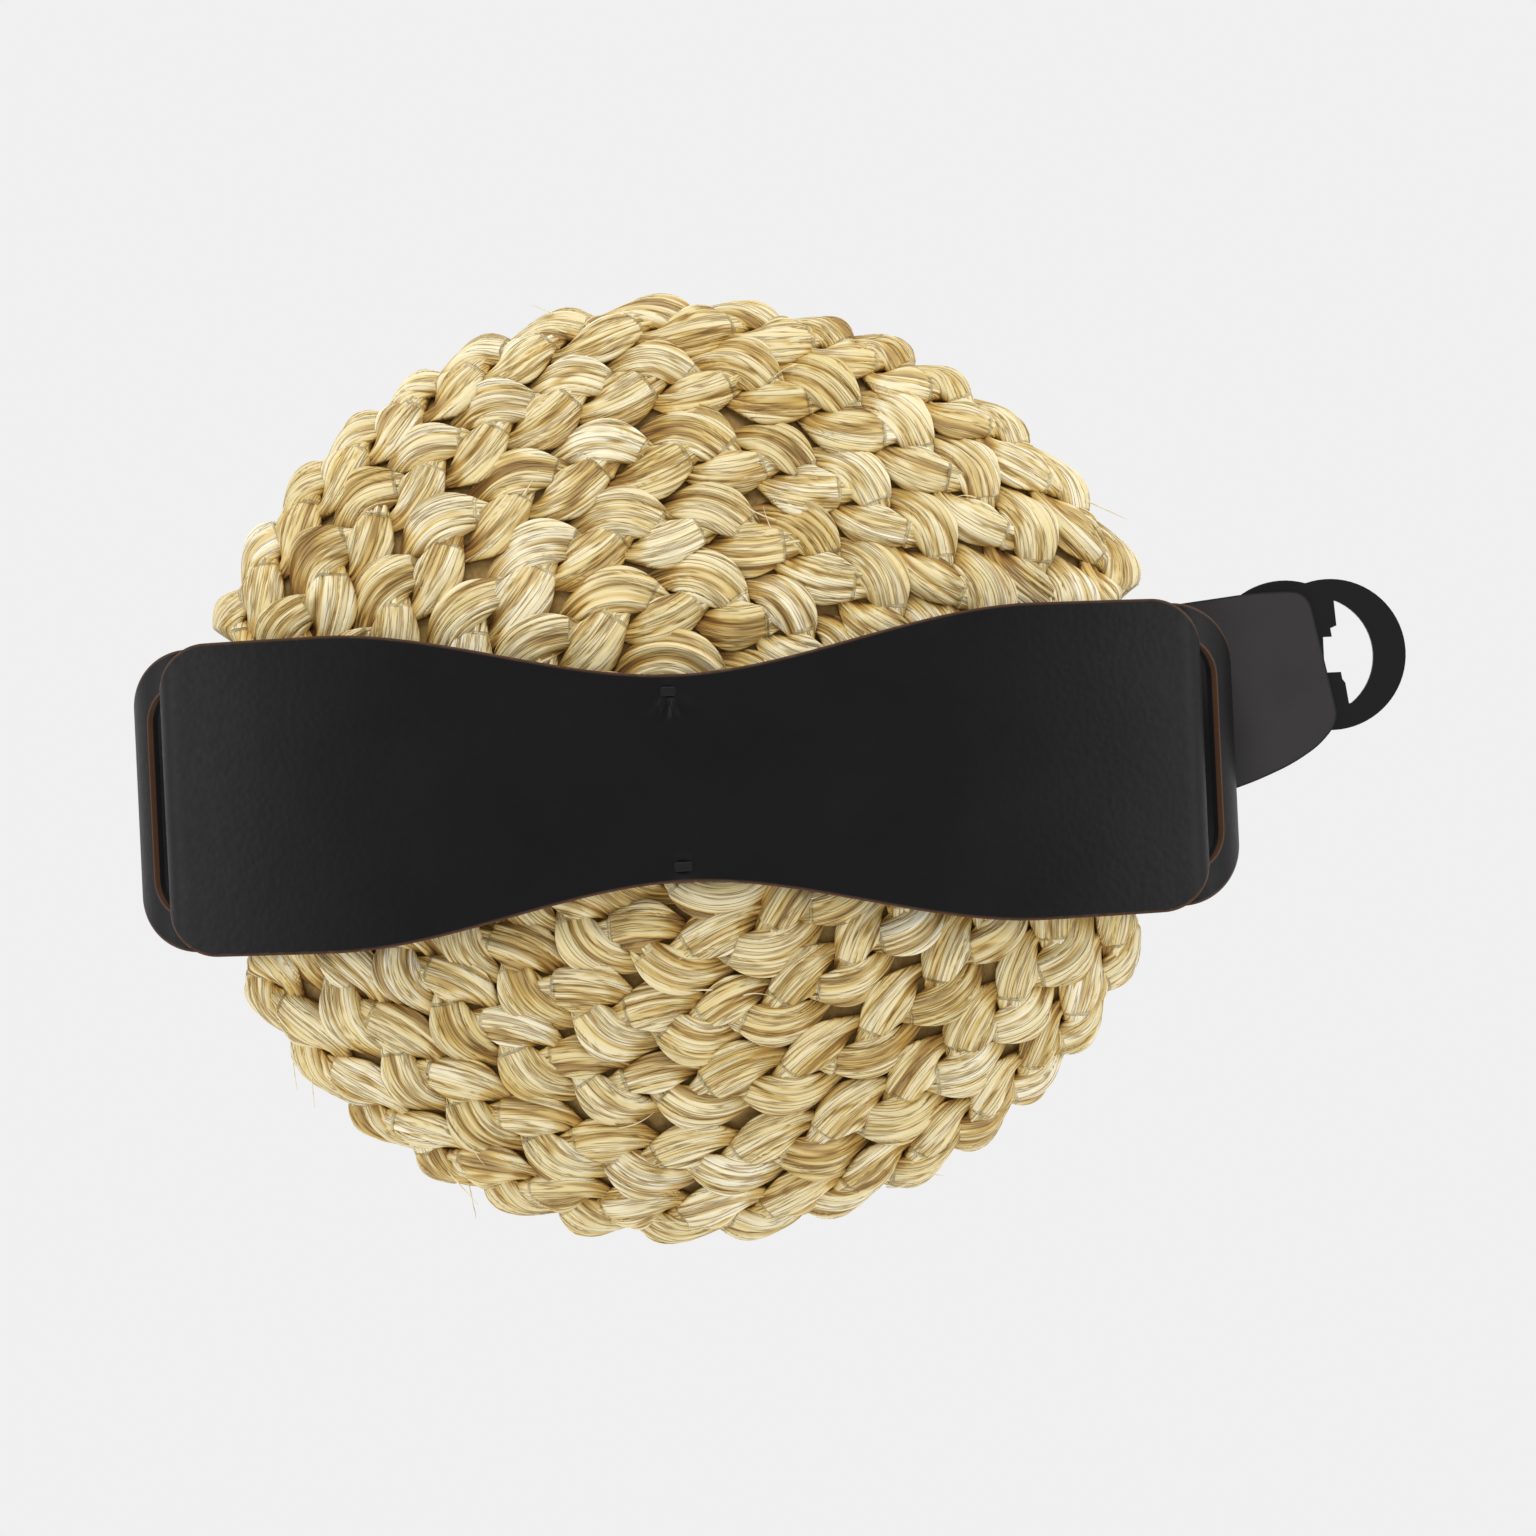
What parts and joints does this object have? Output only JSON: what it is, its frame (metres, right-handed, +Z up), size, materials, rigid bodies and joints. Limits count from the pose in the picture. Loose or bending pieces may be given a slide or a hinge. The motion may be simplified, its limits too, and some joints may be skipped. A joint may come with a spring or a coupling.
{
  "type": "waist belt with straw medallion",
  "caption": "Black leather waist belt with a domed, coiled-straw medallion, slotted arm ends, elastic arms folded under and a hook-and-eye plate closure.",
  "frame": {"origin": "on the table, straight under the centre of the straw dome, on the underside of the left elastic", "axes": "+X along the belt towards the closure plate, +Y across the belt, +Z up out of the dome's crown"},
  "size_m": [0.2024, 0.153, 0.0507],
  "materials": {
    "straw": "plaited corn-husk straw, dry and matt",
    "foam": "soft polyurethane foam",
    "board": "pressed fibreboard",
    "lining": "smooth charcoal lining leather, satin",
    "leather": "black fine-grain synthetic leather, satin",
    "thread": "black polyester thread",
    "steel": "nickelled steel",
    "plate": "black satin enamel",
    "elastic": "black woven elastic webbing"
  },
  "bodies": {
    "medallion": {"straw_coil": "straw", "foam_core": "foam", "backing_board": "board", "lining_disc": "lining", "bow_face": "leather", "bow_lining": "lining", "upper_tack": "thread", "lower_tack": "thread", "left_tongue_rivets": "steel", "right_tongue_rivets": "steel"},
    "left_head": {"left_head_face": "leather", "left_head_lining": "lining", "left_bar_rod": "steel"},
    "left_reach": {"left_bend_face": "leather", "left_bend_lining": "lining", "left_elastic": "elastic", "left_lap_stitches": "thread", "tab_face": "leather", "tab_lining": "lining", "tab_lap_stitches": "thread", "closure_rivet": "steel"},
    "closure": {"closure_plate": "plate"},
    "right_head": {"right_head_face": "leather", "right_head_lining": "lining", "right_bar_rod": "steel"},
    "right_reach": {"right_bend_face": "leather", "right_bend_lining": "lining", "right_elastic": "elastic", "right_lap_stitches": "thread", "hook_tab_face": "leather", "hook_tab_lining": "lining", "hook_lap_stitches": "thread", "hook_rivet": "steel"},
    "hook": {"hook_plate": "plate"}
  },
  "joints": [
    {"name": "left_arm_swing", "type": "hinge", "parent": "medallion", "child": "left_head", "pos_m": [-0.07446, -0.0015, 0.0222], "axis": [0, 1, 0], "range_deg": [0, 25]},
    {"name": "left_arm_bend", "type": "hinge", "parent": "left_head", "child": "left_reach", "pos_m": [-0.08673, -0.0015, 0.0087], "axis": [0, 1, 0], "range_deg": [0, 150]},
    {"name": "right_arm_swing", "type": "hinge", "parent": "medallion", "child": "right_head", "pos_m": [0.07446, -0.0015, 0.0222], "axis": [0, -1, 0], "range_deg": [0, 25]},
    {"name": "right_arm_bend", "type": "hinge", "parent": "right_head", "child": "right_reach", "pos_m": [0.08673, -0.0015, 0.0087], "axis": [0, -1, 0], "range_deg": [0, 150]},
    {"name": "closure_plate_swivel", "type": "hinge", "parent": "left_reach", "child": "closure", "pos_m": [0.0964, 0.0135, 0.0007], "axis": [0, 0, 1], "range_deg": [-8, 8]},
    {"name": "hook_swivel", "type": "hinge", "parent": "right_reach", "child": "hook", "pos_m": [0.02, -0.0015, 0.0065], "axis": [0, 0, 1], "range_deg": [-10, 10]}
  ],
  "couplings": [
    {"joint": "right_arm_swing", "follows": "left_arm_swing", "ratio": 1},
    {"joint": "right_arm_bend", "follows": "left_arm_bend", "ratio": 1}
  ]
}
